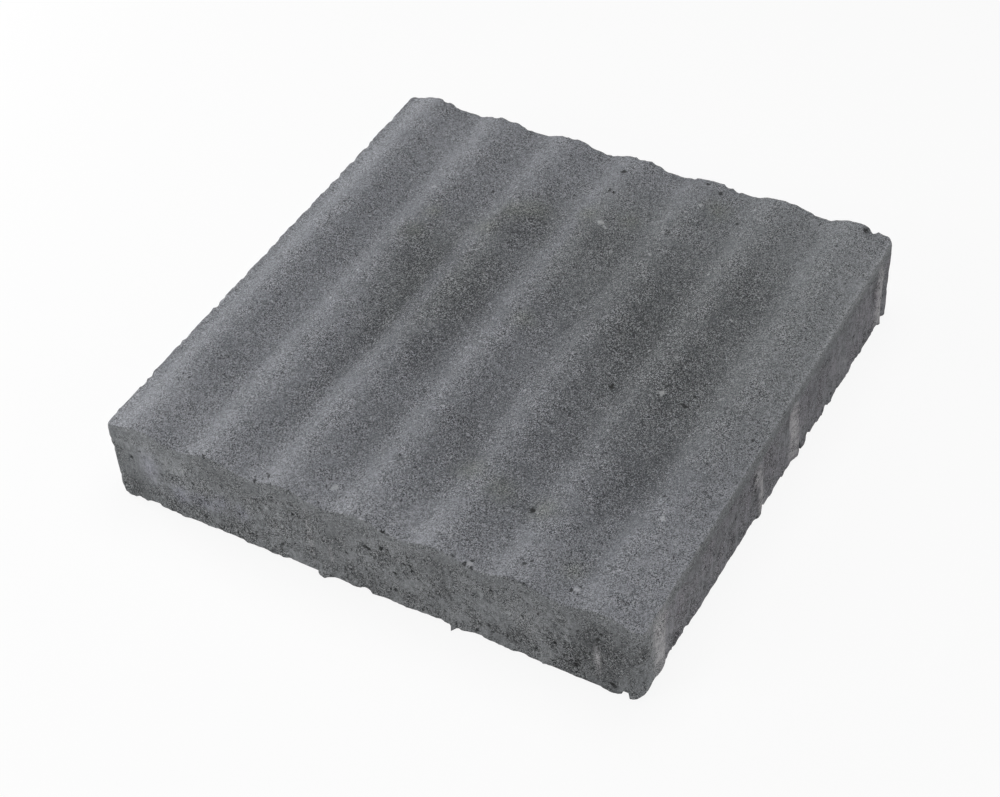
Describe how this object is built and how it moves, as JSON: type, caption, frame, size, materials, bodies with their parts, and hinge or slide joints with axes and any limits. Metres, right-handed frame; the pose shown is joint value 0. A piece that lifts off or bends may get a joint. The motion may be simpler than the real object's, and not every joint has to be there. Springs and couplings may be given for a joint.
{
  "type": "concrete paving slab",
  "caption": "Square concrete paving slab with long parallel rounded ribs on its top face, spacer nibs on its sides and a flat bed face.",
  "frame": {"origin": "middle of the bed face, the flat face that the slab lies on", "axes": "+Z out of the ribbed walking face, +Y along the ribs, +X across the ribs"},
  "size_m": [0.353, 0.353, 0.0622],
  "materials": {
    "concrete": "pressed concrete, anthracite grey, fine sandy face and rougher sides"
  },
  "bodies": {
    "root": {"slab": "concrete"}
  },
  "joints": []
}
